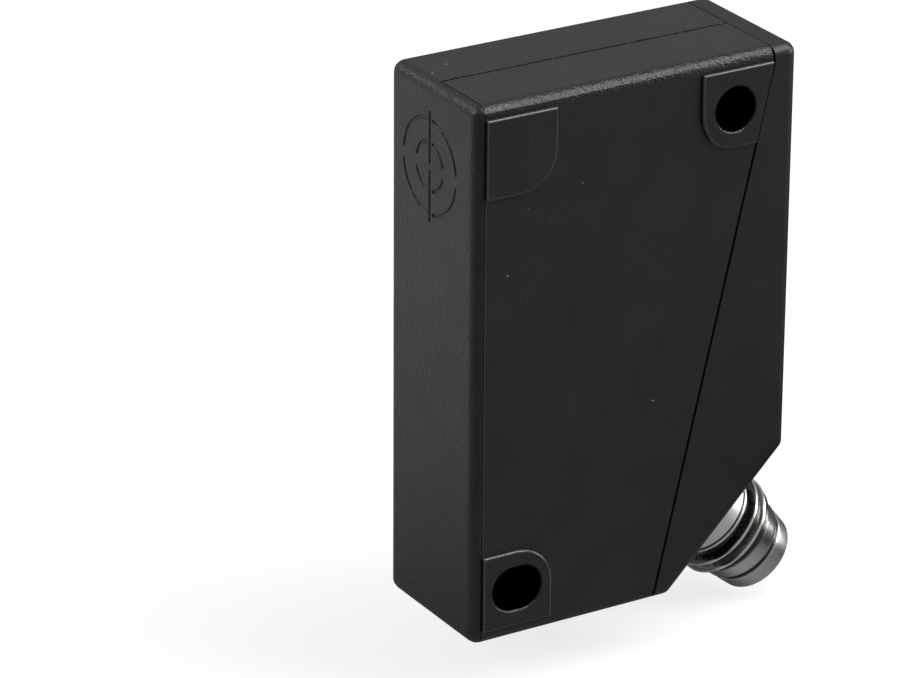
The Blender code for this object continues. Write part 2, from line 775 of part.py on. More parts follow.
def board_point(across, up):
    """A place on the board, as shares of its height and of its width at that height."""
    z = BOARD_BOTTOM + up * (BOARD_TOP - BOARD_BOTTOM)
    return BOARD_LEFT + across * (board_right(z) - BOARD_LEFT), z


def on_board(name, centre, size, lift=SOLDER):
    """The body of a chip part, standing on the board's front."""
    x, z = centre
    width, height, depth = size
    near = BOARD_FRONT - lift
    body = block(
        name,
        (x - width / 2, x + width / 2),
        (near - depth, near),
        (z - height / 2, z + height / 2),
    )
    bevel(body, CHIP_EDGE)
    return body


def bent_lead(name, root, side, reach, rise):
    """One lead: out of the body at this rise, down to the board, and a foot along it."""
    x, z = root
    near = BOARD_FRONT - SOLDER
    high = near - rise
    knee = x + side * (reach + BENT_LEAD_T) / 2
    tip = x + side * reach
    section = [
        (x, high),
        (knee, high),
        (knee, near - BENT_LEAD_T),
        (tip, near - BENT_LEAD_T),
        (tip, near),
        (knee - side * BENT_LEAD_T, near),
        (knee - side * BENT_LEAD_T, high + BENT_LEAD_T),
        (x, high + BENT_LEAD_T),
    ]
    bm = bmesh.new()
    face = bm.faces.new([bm.verts.new((px, py, z - BENT_LEAD_W / 2)) for px, py in section])
    grown = bmesh.ops.extrude_face_region(bm, geom=[face])
    moved = [item for item in grown["geom"] if isinstance(item, bmesh.types.BMVert)]
    bmesh.ops.translate(bm, vec=(0, 0, BENT_LEAD_W), verts=moved)
    return from_bmesh(name, bm)


def leaded_chip(name, centre, size, leads, pitch, reach):
    """A moulded chip on bent leads: so many on its left and so many on its right."""
    x, z = centre
    width, _, depth = size
    body = on_board(name, centre, size, 2 * SOLDER)
    for side, count in zip((-1, 1), leads):
        for i in range(count):
            root = (x + side * (width / 2 - CHIP_EDGE), z + (i - (count - 1) / 2) * pitch)
            lead_name = f"{name}_lead_{side}_{i}"
            join(body, bent_lead(lead_name, root, side, reach, SOLDER + depth / 2))
    return part(body, (0.02, 0.02, 0.022), 0.5)


def board_parts():
    leaded_chip(
        "oscillator_chip",
        board_point(0.42, 0.64),
        CHIP,
        (4, 4),
        CHIP_LEAD_PITCH,
        CHIP_LEAD_REACH,
    )
    leaded_chip(
        "output_transistor",
        board_point(0.31, 0.2),
        TRANSISTOR,
        (2, 1),
        TRANSISTOR_LEAD_PITCH,
        TRANSISTOR_LEAD_REACH,
    )
    ceramic = (0.62, 0.48, 0.3)
    part(on_board("supply_capacitor", board_point(0.56, 0.32), SUPPLY_CAPACITOR), ceramic, 0.5)
    part(on_board("tuning_capacitor", board_point(0.3, 0.91), TUNING_CAPACITOR), ceramic, 0.5)
    for number, across in ((1, 0.55), (2, 0.7)):
        resistor = on_board(f"bias_resistor_{number}", board_point(across, 0.81), RESISTOR)
        part(resistor, (0.03, 0.03, 0.03), 0.4)


def polarity_diode():
    x, z = board_point(0.29, 0.39)
    place = Matrix.Translation((x, BOARD_FRONT - SOLDER - DIODE_R, z))
    diode = cylinder("polarity_diode", DIODE_R, -DIODE_L / 2, DIODE_L / 2, place, 16)
    bevel(diode, CHIP_EDGE)
    smooth(diode)
    return part(diode, (0.55, 0.2, 0.12), 0.3)


def status_led():
    """A chip with a domed lens, at the board's right edge."""
    x, z = board_point(0.8, 0.47)
    led = on_board("status_led", (x, z), LED)
    bm = bmesh.new()
    bmesh.ops.create_uvsphere(bm, u_segments=16, v_segments=8, radius=LED_LENS_R)
    lens_place = Matrix.Translation((x, BOARD_FRONT - SOLDER - LED[2], z))
    join(led, from_bmesh("led_lens", bm, lens_place))
    return part(led, (0.85, 0.8, 0.5), 0.3)


def lead_wire(row, number, color):
    """Insulated wire from a pin's tail to its pad, in rows up the board."""
    tail = pin_place(PIN_ANGLES[number]) @ Vector((0, 0, CARRIER_END - PIN_TAIL - SOLDER))
    pad_z = BOARD_BOTTOM + LEAD_FROM_END + (row - 1) * LEAD_PITCH
    pad = Vector((board_right(pad_z) - LEAD_FROM_SIDE, BOARD_FRONT - SOLDER, pad_z))
    lead = wire("lead_wire_" + number, (tail, pad), -PLUG_AXIS, (0, 1, 0), LEAD_WIRE_R)
    smooth(lead)
    return part(lead, color, 0.45)


# Assembly

rear_housing()
front_cover()
plug_block()
connector_sleeve()
seal_ring()
pin_carrier()
for pin_number, pin_angle in PIN_ANGLES.items():
    contact_pin(pin_number, pin_angle)
ferrite_core()
coil_bobbin()
coil_winding()
coil_lead("coil_lead_start", -1)
coil_lead("coil_lead_end", 1)
circuit_board()
board_parts()
polarity_diode()
status_led()
WIRE_COLORS = {"3": (0.02, 0.06, 0.3), "4": (0.02, 0.02, 0.02), "1": (0.12, 0.05, 0.02)}
for wire_row, (pin_number, wire_color) in enumerate(WIRE_COLORS.items()):
    lead_wire(wire_row, pin_number, wire_color)
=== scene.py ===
# %% [markdown]
# # An inductive proximity sensor, dressed in Blender
#
# The object is a small black block sensor: a flat moulded housing, a smoother wedge that closes its
# right side, and a nickel-plated M8 plug that leaves a chamfer at 45 degrees. The solids come from a
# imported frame. This script gives every surface its finish, rounds the moulded edges, cuts the
# engraved target mark, turns a fine version of the plug, and lights it all like a product photo.

# %% Load the frame
import math

import bmesh
import bpy
from mathutils import Matrix, Vector


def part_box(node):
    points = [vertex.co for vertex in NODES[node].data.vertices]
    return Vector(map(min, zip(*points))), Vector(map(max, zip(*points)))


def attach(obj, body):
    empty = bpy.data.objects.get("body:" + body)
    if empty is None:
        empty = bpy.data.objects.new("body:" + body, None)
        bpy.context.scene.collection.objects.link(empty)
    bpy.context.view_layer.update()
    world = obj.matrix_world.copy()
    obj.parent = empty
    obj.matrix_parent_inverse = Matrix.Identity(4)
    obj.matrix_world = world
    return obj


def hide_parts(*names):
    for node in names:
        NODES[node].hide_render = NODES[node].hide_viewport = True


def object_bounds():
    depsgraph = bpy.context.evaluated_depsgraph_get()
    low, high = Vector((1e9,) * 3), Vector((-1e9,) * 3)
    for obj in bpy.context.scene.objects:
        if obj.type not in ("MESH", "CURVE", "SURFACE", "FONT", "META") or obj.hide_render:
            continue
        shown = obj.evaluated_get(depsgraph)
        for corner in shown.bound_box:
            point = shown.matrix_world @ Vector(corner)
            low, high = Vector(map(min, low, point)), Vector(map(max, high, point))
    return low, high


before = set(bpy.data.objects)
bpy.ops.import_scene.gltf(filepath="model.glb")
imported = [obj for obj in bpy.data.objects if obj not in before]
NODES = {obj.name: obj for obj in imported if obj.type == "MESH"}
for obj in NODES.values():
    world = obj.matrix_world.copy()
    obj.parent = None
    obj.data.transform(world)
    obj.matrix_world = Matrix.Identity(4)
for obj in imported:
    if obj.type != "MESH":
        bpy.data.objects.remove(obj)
CAD_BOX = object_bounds()
MM = 0.001
print("pieces in the frame:", len(NODES))

# %% [markdown]
# ## The camera
#
# A camera can be matched to a photo by its direction, its distance and its lens. This one looks from
# 31 degrees to the left of the front and from 23 degrees above it, through a long lens, so that the
# parallel edges of the housing hardly converge, as in the photo. The three numbers that place it are
# measured in its own directions: across, up, and away from the object.

# %% Place the camera
AZIMUTH = math.radians(-31.264)
ELEVATION = math.radians(23.322)
ROLL = math.radians(0.385)
CAMERA_ACROSS = -6.364 * MM
CAMERA_UP = -3.354 * MM
CAMERA_AWAY = 368.182 * MM
NEAREST_SEEN = 10 * MM
FOCAL_PIXELS = 5198.7
PHOTO_WIDTH = 915
SENSOR_WIDTH = 36.0

look = Vector((
    -math.sin(AZIMUTH) * math.cos(ELEVATION),
    math.cos(AZIMUTH) * math.cos(ELEVATION),
    -math.sin(ELEVATION),
))
level_right = Vector((math.cos(AZIMUTH), math.sin(AZIMUTH), 0))
level_up = level_right.cross(look)
right = level_right * math.cos(ROLL) + level_up * math.sin(ROLL)
up = level_up * math.cos(ROLL) - level_right * math.sin(ROLL)

camera_data = bpy.data.cameras.new("camera")
camera_data.sensor_width = SENSOR_WIDTH
camera_data.lens = SENSOR_WIDTH * FOCAL_PIXELS / PHOTO_WIDTH
camera_data.clip_start = NEAREST_SEEN
camera = bpy.data.objects.new("camera", camera_data)
bpy.context.scene.collection.objects.link(camera)
turn = Matrix((right, up, -look)).transposed().to_4x4()
stand = right * CAMERA_ACROSS + up * CAMERA_UP - look * CAMERA_AWAY
camera.matrix_world = Matrix.Translation(stand) @ turn
bpy.context.scene.camera = camera
print("lens:", round(camera_data.lens, 1), "mm")

# %% [markdown]
# ## Nodes and finished pieces
#
# Materials and the sky are both made of nodes, so small functions add a node, plug it in, and do sums
# with what it gives. Another one turns a bmesh into a finished piece, whose faces are shaded smooth up
# to a crease angle. On a piece with flat walls the normals of the walls win over those of the narrow
# rounded edges beside them, so that a wall looks flat right up to its edge.

# %% A node, with its inputs
def feed(tree, socket, value):
    """Set an input to a value, or plug another node's output into it."""
    if isinstance(value, bpy.types.NodeSocket):
        tree.links.new(value, socket)
    else:
        socket.default_value = value


def add_node(tree, kind, **inputs):
    """A node of this kind, with its inputs fed by name."""
    made = tree.nodes.new(kind)
    for name, value in inputs.items():
        socket = next(s for s in made.inputs if s.name.replace(" ", "_") == name and s.enabled)
        feed(tree, socket, value)
    return made


# %% Sums with nodes
def math_node(tree, operation, first, second):
    made = add_node(tree, "ShaderNodeMath")
    made.operation = operation
    for socket, value in zip(made.inputs, (first, second)):
        feed(tree, socket, value)
    return made.outputs[0]


def product(tree, *factors):
    """All the factors multiplied together."""
    made = factors[0]
    for factor in factors[1:]:
        made = math_node(tree, "MULTIPLY", made, factor)
    return made


def map_range(tree, value, from_range, to_range=(0, 1)):
    """The value carried from one range to another, and held inside it."""
    made = add_node(tree, "ShaderNodeMapRange", Value=value)
    made.inputs["From Min"].default_value, made.inputs["From Max"].default_value = from_range
    made.inputs["To Min"].default_value, made.inputs["To Max"].default_value = to_range
    return made.outputs["Result"]


def split(tree, vector):
    """The X, Y and Z of a vector."""
    return add_node(tree, "ShaderNodeSeparateXYZ", Vector=vector).outputs


def distance(tree, across, along):
    """How far away a point is that lies this far across and this far along."""
    flat = add_node(tree, "ShaderNodeCombineXYZ", X=across, Y=along)
    length = add_node(tree, "ShaderNodeVectorMath", Vector=flat.outputs[0])
    length.operation = "LENGTH"
    return length.outputs["Value"]


def mix_shaders(tree, share, first, second):
    made = add_node(tree, "ShaderNodeMixShader", Fac=share)
    tree.links.new(first.outputs[0], made.inputs[1])
    tree.links.new(second.outputs[0], made.inputs[2])
    return made.outputs[0]


# %% Flat walls
CREASE = math.radians(32)


def lay_walls_flat(mesh):
    """Corner normals that are a broad wall's own, or else lean towards the larger faces."""
    is_wall = mesh.attributes["wall"].data
    faces_at = [[] for _ in mesh.vertices]
    for face in mesh.polygons:
        for vert in face.vertices:
            faces_at[vert].append(face)
    normals = []
    for face in mesh.polygons:
        for vert in face.vertices:
            near = [other for other in faces_at[vert] if other.normal.dot(face.normal) > math.cos(CREASE)]
            walls = [other for other in near if is_wall[other.index].value > 0.5]
            if walls:
                normals.append(max(walls, key=lambda wall: wall.area).normal.copy())
            else:
                normals.append(sum((other.normal * other.area for other in near), Vector()).normalized())
    mesh.normals_split_custom_set(normals)


# %% A finished piece
def finish_piece(name, bm, material, slot_name, *nodes, flat_walls=False):
    """Make the bmesh a smooth-shaded piece on the root body, which stands for these CAD nodes."""
    mesh = bpy.data.meshes.new(name)
    bm.to_mesh(mesh)
    bm.free()
    mesh.shade_smooth()
    mesh.set_sharp_from_angle(angle=CREASE)
    if flat_walls:
        lay_walls_flat(mesh)
    mesh.materials.append(material)
    piece = bpy.data.objects.new(name, mesh)
    bpy.context.scene.collection.objects.link(piece)
    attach(piece, "root")
    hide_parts(*nodes)
    mesh.calc_loop_triangles()
    print(name, "has", len(mesh.loop_triangles), "triangles")


# %% [markdown]
# ## Floor, sky and lamps
#
# The photo is a cut-out on white, so the camera sees a white sky and a white floor. Black plastic
# shows little but its reflections, so what stands round the object matters more than how bright it
# is. The bright band along the front's upper edge shows a large softbox above and in front. The
# grainy band along the left edge shows two smaller ones behind it, and the white patches on the plug
# show one on the right. The rest is dim. The sky fades to almost black at the horizon, and the floor
# gives back a quarter of its light. A photographer would lay a black card beside the plug to keep
# its right outline dark, and here a darker stretch of the floor does that. Reflections show a part
# of the white backdrop too, where it stands behind the object.

# %% Who sees the white backdrop
WHITE = (1.0, 1.0, 1.0, 1.0)


def backdrop_share(tree, in_reflections):
    """How much of the backdrop a ray sees: all of it from the camera, or this share of it."""
    rays = add_node(tree, "ShaderNodeLightPath").outputs
    reflected = math_node(tree, "ADD", rays["Is Glossy Ray"], rays["Is Transmission Ray"])
    return math_node(tree, "MAXIMUM", rays["Is Camera Ray"], product(tree, reflected, in_reflections))


# %% The sky
SKY = 0.3
SKY_AT_HORIZON = 0.03
SKY_RISES = (0.05, 0.35)
BACKDROP_RISES = (0.5, 0.75)
BACKDROP_IN_METAL = 0.2

world = bpy.data.worlds.new("studio")
world.use_nodes = True
bpy.context.scene.world = world
sky = world.node_tree
sky.nodes.clear()
direction = split(sky, add_node(sky, "ShaderNodeTexCoord").outputs["Generated"])
towards_back = map_range(sky, direction["Y"], BACKDROP_RISES, (0, BACKDROP_IN_METAL))
strength = map_range(sky, direction["Z"], SKY_RISES, (SKY_AT_HORIZON, SKY))
lit = add_node(sky, "ShaderNodeBackground", Color=WHITE, Strength=strength)
seen = add_node(sky, "ShaderNodeBackground", Color=WHITE, Strength=1.0)
mixed = mix_shaders(sky, backdrop_share(sky, towards_back), lit, seen)
add_node(sky, "ShaderNodeOutputWorld", Surface=mixed)
print("sky:", SKY_AT_HORIZON, "at the horizon,", SKY, "overhead")

# %% The floor
FLOOR_DROP = 0.3 * MM
FLOOR_HALF = 2.0
PAPER = 0.24
PAPER_GLOW = 0.78
FLOOR_IN_METAL = 0.45
LEAST_IN_METAL = 0.04
WHITE_ALONG_Y = (-20 * MM, 60 * MM)
WHITE_ALONG_X = (20 * MM, -10 * MM)
CARD_SHADE = 0.85
CARD_ALONG_X = (12 * MM, 28 * MM)
CARD_ALONG_Y = (-40 * MM, -20 * MM)

floor_height = CAD_BOX[0][2] - FLOOR_DROP
bm = bmesh.new()
bmesh.ops.create_grid(bm, x_segments=1, y_segments=1, size=FLOOR_HALF)
bmesh.ops.translate(bm, vec=(0, 0, floor_height), verts=bm.verts)
floor_mesh = bpy.data.meshes.new("floor")
bm.to_mesh(floor_mesh)
bm.free()
floor = bpy.data.objects.new("floor", floor_mesh)
bpy.context.scene.collection.objects.link(floor)
print("floor at", round(floor_height / MM, 2), "mm")

# %% The floor's paper
paper = bpy.data.materials.new("white_paper")
paper.use_nodes = True
tree = paper.node_tree
tree.nodes.clear()
axes = split(tree, add_node(tree, "ShaderNodeTexCoord").outputs["Object"])
behind = product(
    tree,
    map_range(tree, axes["Y"], WHITE_ALONG_Y, (0, FLOOR_IN_METAL)),
    map_range(tree, axes["X"], WHITE_ALONG_X, (LEAST_IN_METAL, 1)),
)
card = product(
    tree,
    map_range(tree, axes["X"], CARD_ALONG_X, (0, CARD_SHADE)),
    map_range(tree, axes["Y"], CARD_ALONG_Y),
)
kept = math_node(tree, "SUBTRACT", 1, card)
carded = add_node(tree, "ShaderNodeBsdfDiffuse", Color=product(tree, kept, PAPER))
matt = add_node(tree, "ShaderNodeBsdfDiffuse", Color=(PAPER, PAPER, PAPER, 1.0))
glow = add_node(tree, "ShaderNodeEmission", Color=WHITE, Strength=PAPER_GLOW)
glowing = add_node(tree, "ShaderNodeAddShader")
tree.links.new(matt.outputs[0], glowing.inputs[0])
tree.links.new(glow.outputs[0], glowing.inputs[1])
mixed = mix_shaders(tree, backdrop_share(tree, behind), carded, glowing)
add_node(tree, "ShaderNodeOutputMaterial", Surface=mixed)
floor_mesh.materials.append(paper)
print("paper:", len(tree.nodes), "nodes")

# %% The lamps
LAMP_DISTANCE = 0.5


def softbox(name, towards, size, brightness):
    """A rectangular lamp of this brightness in this direction from the housing's middle, facing it."""
    data = bpy.data.lights.new(name, "AREA")
    data.shape = "RECTANGLE"
    data.size, data.size_y = size
    data.energy = brightness * math.pi * size[0] * size[1]
    lamp = bpy.data.objects.new(name, data)
    bpy.context.scene.collection.objects.link(lamp)
    middle = Vector((0, CAD_BOX[0][1] / 2, 0))
    away = Vector(towards).normalized()
    lamp.location = middle + away * LAMP_DISTANCE
    lamp.rotation_euler = (-away).to_track_quat("-Z", "Y").to_euler()
    print(name, "gives", round(data.energy, 2), "W")


softbox("key_softbox", (0.47, -0.38, 0.79), (0.24, 0.5), 7.5)
softbox("left_softbox", (-0.80, 0.30, 0.50), (0.23, 0.23), 6.5)
softbox("edge_softbox", (-0.40, 0.785, 0.48), (0.14, 0.12), 3.0)
softbox("right_softbox", (0.95, -0.27, 0.15), (0.2, 0.22), 6.0)
bpy.context.scene.view_settings.view_transform = "Standard"

# %% [markdown]
# ## Moulded plastic
#
# The housing is glass-filled polyester with a spark-eroded grain: the steel mould is pitted by
# sparks, and the plastic copies its pits. Each is about a tenth of a millimetre across and a few
# hundredths deep, so here they are bump, from two sizes of noise. The grain is gentle on the broad
# walls, stronger on the narrow faces between them, where it glitters, and almost gone on the rims of
# the pads, which are rubbed glossier. They are also painted paler, partly as rubbed plastic and partly
# as a painted highlight for the bright line a lamp draws along them, and the other outer edges get a
# trace of both. A slow noise makes some patches a little duller, and sparse specks of dust lie on it,
# as on the real housing. The wedge is a smoother plastic. Each face of a mesh can carry values of its
# own, so the pieces say which faces are walls and which carry wear and painted highlight, and the
# material reads it.

# %% A material to start from
def new_material(name, color, roughness, metallic=0.0):
    """A material with its node tree, its shader and the place on the object in metres."""
    made = bpy.data.materials.new(name)
    made.use_nodes = True
    tree = made.node_tree
    shader = tree.nodes["Principled BSDF"]
    shader.inputs["Base Color"].default_value = (*color, 1.0)
    shader.inputs["Roughness"].default_value = roughness
    shader.inputs["Metallic"].default_value = metallic
    place = add_node(tree, "ShaderNodeTexCoord").outputs["Object"]
    return made, tree, shader, place


# %% Noise, bump and colours
NOISE_SPAN = (0.3, 0.7)


def noise(tree, place, size, detail=2.0):
    """Soft noise with features of this size in metres, which seldom leaves NOISE_SPAN."""
    return add_node(tree, "ShaderNodeTexNoise", Vector=place, Scale=1 / size, Detail=detail).outputs[0]


def bump(tree, shader, height, depth):
    """Put bump of this depth in metres on the shader, from a height from 0 to 1."""
    made = add_node(tree, "ShaderNodeBump", Height=height, Distance=depth, Strength=1.0)
    tree.links.new(made.outputs["Normal"], shader.inputs["Normal"])


def mix_colors(tree, share, first, second):
    made = tree.nodes.new("ShaderNodeMix")
    made.data_type = "RGBA"
    factor, a, b = (s for s in made.inputs if s.enabled)
    tree.links.new(share, factor)
    for socket, value in ((a, first), (b, second)):
        feed(tree, socket, (*value, 1.0) if isinstance(value, tuple) else value)
    return next(s for s in made.outputs if s.enabled)


def shade(color, factor):
    """The colour made darker or lighter by this factor."""
    return tuple(channel * factor for channel in color)


def written(tree, name):
    """The value that is written on each face under this name."""
    made = add_node(tree, "ShaderNodeAttribute")
    made.attribute_name = name
    return made.outputs["Fac"]


# %% Dust
DUST_CELL = 1.5 * MM
DUST_SIZE = 0.09 * MM
DUST_SHARE = 0.2
DUST_CHOICE = 0.02
DUST_COLOR = (0.5, 0.49, 0.48)


def dusty(tree, place, color):
    """The colour with sparse specks of dust: one small dot in a few of the cells of a Voronoi."""
    cells = add_node(tree, "ShaderNodeTexVoronoi", Vector=place, Scale=1 / DUST_CELL)
    pick = add_node(tree, "ShaderNodeSeparateColor", Color=cells.outputs["Color"])
    near = map_range(tree, cells.outputs["Distance"], (DUST_SIZE / DUST_CELL, 0))
    picked = map_range(tree, pick.outputs["Red"], (DUST_SHARE, DUST_SHARE - DUST_CHOICE))
    return mix_colors(tree, product(tree, near, picked), color, DUST_COLOR)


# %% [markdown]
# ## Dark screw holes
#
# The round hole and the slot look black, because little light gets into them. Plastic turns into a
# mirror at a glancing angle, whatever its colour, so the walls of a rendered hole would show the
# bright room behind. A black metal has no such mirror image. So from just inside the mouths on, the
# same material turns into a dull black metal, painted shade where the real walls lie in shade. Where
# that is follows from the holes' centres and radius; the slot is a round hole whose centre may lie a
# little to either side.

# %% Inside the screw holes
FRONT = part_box("front_cover")[0].y
HOLE_R = 1.625 * MM
SLOT_REACH = 0.35 * MM
HOLE_CENTRES = {(7.7 * MM, 16.15 * MM): 0.0, (-9.53 * MM, -16.07 * MM): SLOT_REACH}
HOLE_WALL = (0.06 * MM, 0.02 * MM)
HOLE_DEPTHS = (-0.12 * MM, 0.15 * MM)
HOLE_SHADE_BLACK = (0.0005, 0.0005, 0.0005)


def in_a_screw_hole(tree, place):
    """1 in the two screw holes, from just inside their mouths, and 0 elsewhere."""
    axes = split(tree, place)
    deep = map_range(tree, axes["Y"], [FRONT + depth for depth in HOLE_DEPTHS])
    inside = None
    for (x, z), reach in HOLE_CENTRES.items():
        aside = math_node(tree, "ABSOLUTE", math_node(tree, "SUBTRACT", axes["X"], x), 0)
        aside = math_node(tree, "MAXIMUM", math_node(tree, "SUBTRACT", aside, reach), 0)
        along = math_node(tree, "SUBTRACT", axes["Z"], z)
        near = map_range(tree, distance(tree, aside, along), [HOLE_R + past for past in HOLE_WALL])
        inside = near if inside is None else math_node(tree, "MAXIMUM", inside, near)
    return product(tree, inside, deep)


# %% Grained plastic
COARSER = 2.5
GRAIN_ON_WALLS = 0.6
GRAIN_BETWEEN_WALLS = 1.2
GRAIN_WHERE_WORN = 0.1
PATCH_SIZE = 3.5 * MM
PATCH_GLOSS = 0.125
DARK_PATCH = 0.85
LIGHT_PATCH = 1.2
WEAR_AND_HIGHLIGHT_COLOR = (0.05, 0.05, 0.05)
WORN_GLOSS = 0.5


def moulded(name, color, roughness, grain, depth):
    """Grained black plastic, with its grain's size and depth in metres."""
    made, tree, shader, place = new_material(name, color, roughness)
    wear_and_highlight = written(tree, "wear_and_highlight")
    fine = noise(tree, place, grain, detail=1.0)
    coarse = noise(tree, place, grain * COARSER, detail=1.0)
    pits = product(
        tree,
        math_node(tree, "ADD", fine, coarse),
        map_range(tree, wear_and_highlight, (0, 1), (1, GRAIN_WHERE_WORN)),
        map_range(tree, written(tree, "wall"), (0, 1), (GRAIN_BETWEEN_WALLS, GRAIN_ON_WALLS)),
    )
    bump(tree, shader, pits, depth)
    cloud = noise(tree, place, PATCH_SIZE, detail=3.0)
    glossiest = roughness * (1 - PATCH_GLOSS)
    dullest = roughness * (1 + PATCH_GLOSS)
    dull = map_range(tree, cloud, NOISE_SPAN, (glossiest, dullest))
    polish = map_range(tree, wear_and_highlight, (0, 1), (1, WORN_GLOSS))
    # Painted shade: inside the screw holes the colour is black and the finish a rough black metal.
    hole_shade = in_a_screw_hole(tree, place)
    tree.links.new(math_node(tree, "MAXIMUM", product(tree, dull, polish), hole_shade), shader.inputs["Roughness"])
    tree.links.new(hole_shade, shader.inputs["Metallic"])
    patchy = map_range(tree, cloud, NOISE_SPAN)
    clouded = mix_colors(tree, patchy, shade(color, DARK_PATCH), shade(color, LIGHT_PATCH))
    # Painted highlight: the rims and edges are painted paler, partly as rubbed plastic.
    with_painted_highlight = mix_colors(tree, wear_and_highlight, clouded, WEAR_AND_HIGHLIGHT_COLOR)
    tree.links.new(mix_colors(tree, hole_shade, dusty(tree, place, with_painted_highlight), HOLE_SHADE_BLACK), shader.inputs["Base Color"])
    print(name, "has", len(tree.nodes), "nodes")
    return made


housing_plastic = moulded("housing_plastic", (0.008, 0.008, 0.0083), 0.38, 0.14 * MM, 0.045 * MM)
wedge_plastic = moulded("plug_block_plastic", (0.0065, 0.0065, 0.0068), 0.42, 0.12 * MM, 0.008 * MM)

# %% [markdown]
# ## The housing's three pieces
#
# The back with its sensing wall, the cover with three raised pads, and the wedge that carries the
# plug come from the solids. Moulded parts have no knife edges, and a lamp draws a thin bright line
# along each rounded one, so a copy of each mesh gets its outer edges rounded: the rims of the pads
# most, then the cover's edge along the left seam, which like the rims is rubbed and painted paler,
# and the rest hardly at all.
# The copy's loose triangles are merged and flat ones dissolved first, because a bevel needs whole
# faces. The seams of the real housing are hair lines, narrower than the gap that keeps the solids
# apart, so a few vertices are moved towards them. The walls are marked for the shading.

# %% Copy and dissolve
MERGE = 0.002 * MM
FLAT_ANGLE = math.radians(0.5)


def copy_of(node_name):
    """A merged copy of a CAD node's mesh, with its flat triangles made whole faces."""
    bm = bmesh.new()
    bm.from_mesh(NODES[node_name].data)
    bmesh.ops.remove_doubles(bm, verts=bm.verts, dist=MERGE)
    bmesh.ops.dissolve_limit(bm, angle_limit=FLAT_ANGLE, verts=bm.verts, edges=bm.edges)
    return bm


# %% Which edges are which
EDGE_ANGLE = math.radians(50)
SKIN = 0.12 * MM
HOUSING_LOW, HOUSING_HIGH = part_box("rear_housing")
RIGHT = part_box("plug_block")[1].x
LEFT_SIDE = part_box("front_cover")[0].x + 0.02 * MM
PAD_RISE = HOUSING_HIGH.y
print("pads stand", round(PAD_RISE / MM, 2), "mm proud")


def on_the_outside(vert):
    x, y, z = vert.co
    return (
        y < FRONT + PAD_RISE + SKIN
        or y > -SKIN
        or x < HOUSING_LOW.x + SKIN
        or x > RIGHT - SKIN
        or z < HOUSING_LOW.z + SKIN
        or z > HOUSING_HIGH.z - SKIN
    )


def is_sharp(edge):
    return edge.is_manifold and edge.is_convex and edge.calc_face_angle() > EDGE_ANGLE


def is_pad_rim(edge):
    """An edge of a raised pad whose wall is only as high as the pad."""
    heights = [vert.co.y for face in edge.link_faces for vert in face.verts]
    on_front = all(vert.co.y < FRONT + MERGE for vert in edge.verts) and max(heights) < FRONT + 2 * PAD_RISE
    on_back = all(vert.co.y > PAD_RISE - MERGE for vert in edge.verts) and min(heights) > -PAD_RISE
    return is_sharp(edge) and (on_front or on_back)


def is_left_edge(edge):
    """The cover's front edge along the seam on its left, on the pads and between them."""
    return is_sharp(edge) and all(
        vert.co.x < LEFT_SIDE and vert.co.y < FRONT + PAD_RISE + MERGE for vert in edge.verts
    )


def is_outer_edge(edge):
    return is_sharp(edge) and all(on_the_outside(vert) for vert in edge.verts)


# %% Mark and round
EDGE_ROUND = 0.05 * MM
RIM_ROUND = 0.15 * MM
LEFT_ROUND = 0.08 * MM
# Shares of rubbed gloss and of a paler colour, partly a painted highlight, on the rims and on the other
# edges.
RIM_WEAR_AND_HIGHLIGHT = 1.0
EDGE_WEAR_AND_HIGHLIGHT = 0.04
WALL_WIDTH = 0.5 * MM


def mark_walls(bm):
    """Write on each face whether it is a broad flat wall."""
    layer = bm.faces.layers.float.new("wall")
    bm.faces.layers.float.new("wear_and_highlight")
    for face in bm.faces:
        width = 2 * face.calc_area() / face.calc_perimeter()
        face[layer] = 1.0 if width > WALL_WIDTH else 0.0


def round_edges(bm, wanted, width, segments, wear_and_highlight):
    """Round the edges that are wanted, and write on the new faces how much wear and painted highlight they
    carry.
    """
    chosen = [edge for edge in bm.edges if wanted(edge)]
    made = bmesh.ops.bevel(
        bm,
        geom=chosen,
        affect="EDGES",
        offset=width,
        offset_type="OFFSET",
        segments=segments,
        profile=0.5,
        material=-1,
        clamp_overlap=False,
        loop_slide=True,
    )
    for face in made["faces"]:
        face[bm.faces.layers.float["wall"]] = 0.0
        face[bm.faces.layers.float["wear_and_highlight"]] = wear_and_highlight
    return len(chosen)


# %% Nudge and round a copy
def nudge(bm, along, fits):
    """Move the vertices that fit, given their places in millimetres."""
    chosen = [vert for vert in bm.verts if fits(*(vert.co / MM))]
    bmesh.ops.translate(bm, vec=Vector(along) * MM, verts=chosen)
    return len(chosen)


def rounded_copy(node_name, *nudges):
    """A copy of a housing piece, nudged, with its pads' rims and other outer edges rounded."""
    bm = copy_of(node_name)
    moved = [nudge(bm, along, fits) for along, fits in nudges]
    mark_walls(bm)
    rims = round_edges(bm, is_pad_rim, RIM_ROUND, 4, RIM_WEAR_AND_HIGHLIGHT)
    if node_name == "front_cover":
        rims += round_edges(bm, is_left_edge, LEFT_ROUND, 2, RIM_WEAR_AND_HIGHLIGHT)
    edges = round_edges(bm, is_outer_edge, EDGE_ROUND, 2, EDGE_WEAR_AND_HIGHLIGHT)
    bmesh.ops.triangulate(bm, faces=[face for face in bm.faces if len(face.verts) > 4])
    print(node_name, "vertices moved:", moved, "rims rounded:", rims, "other edges:", edges)
    return bm


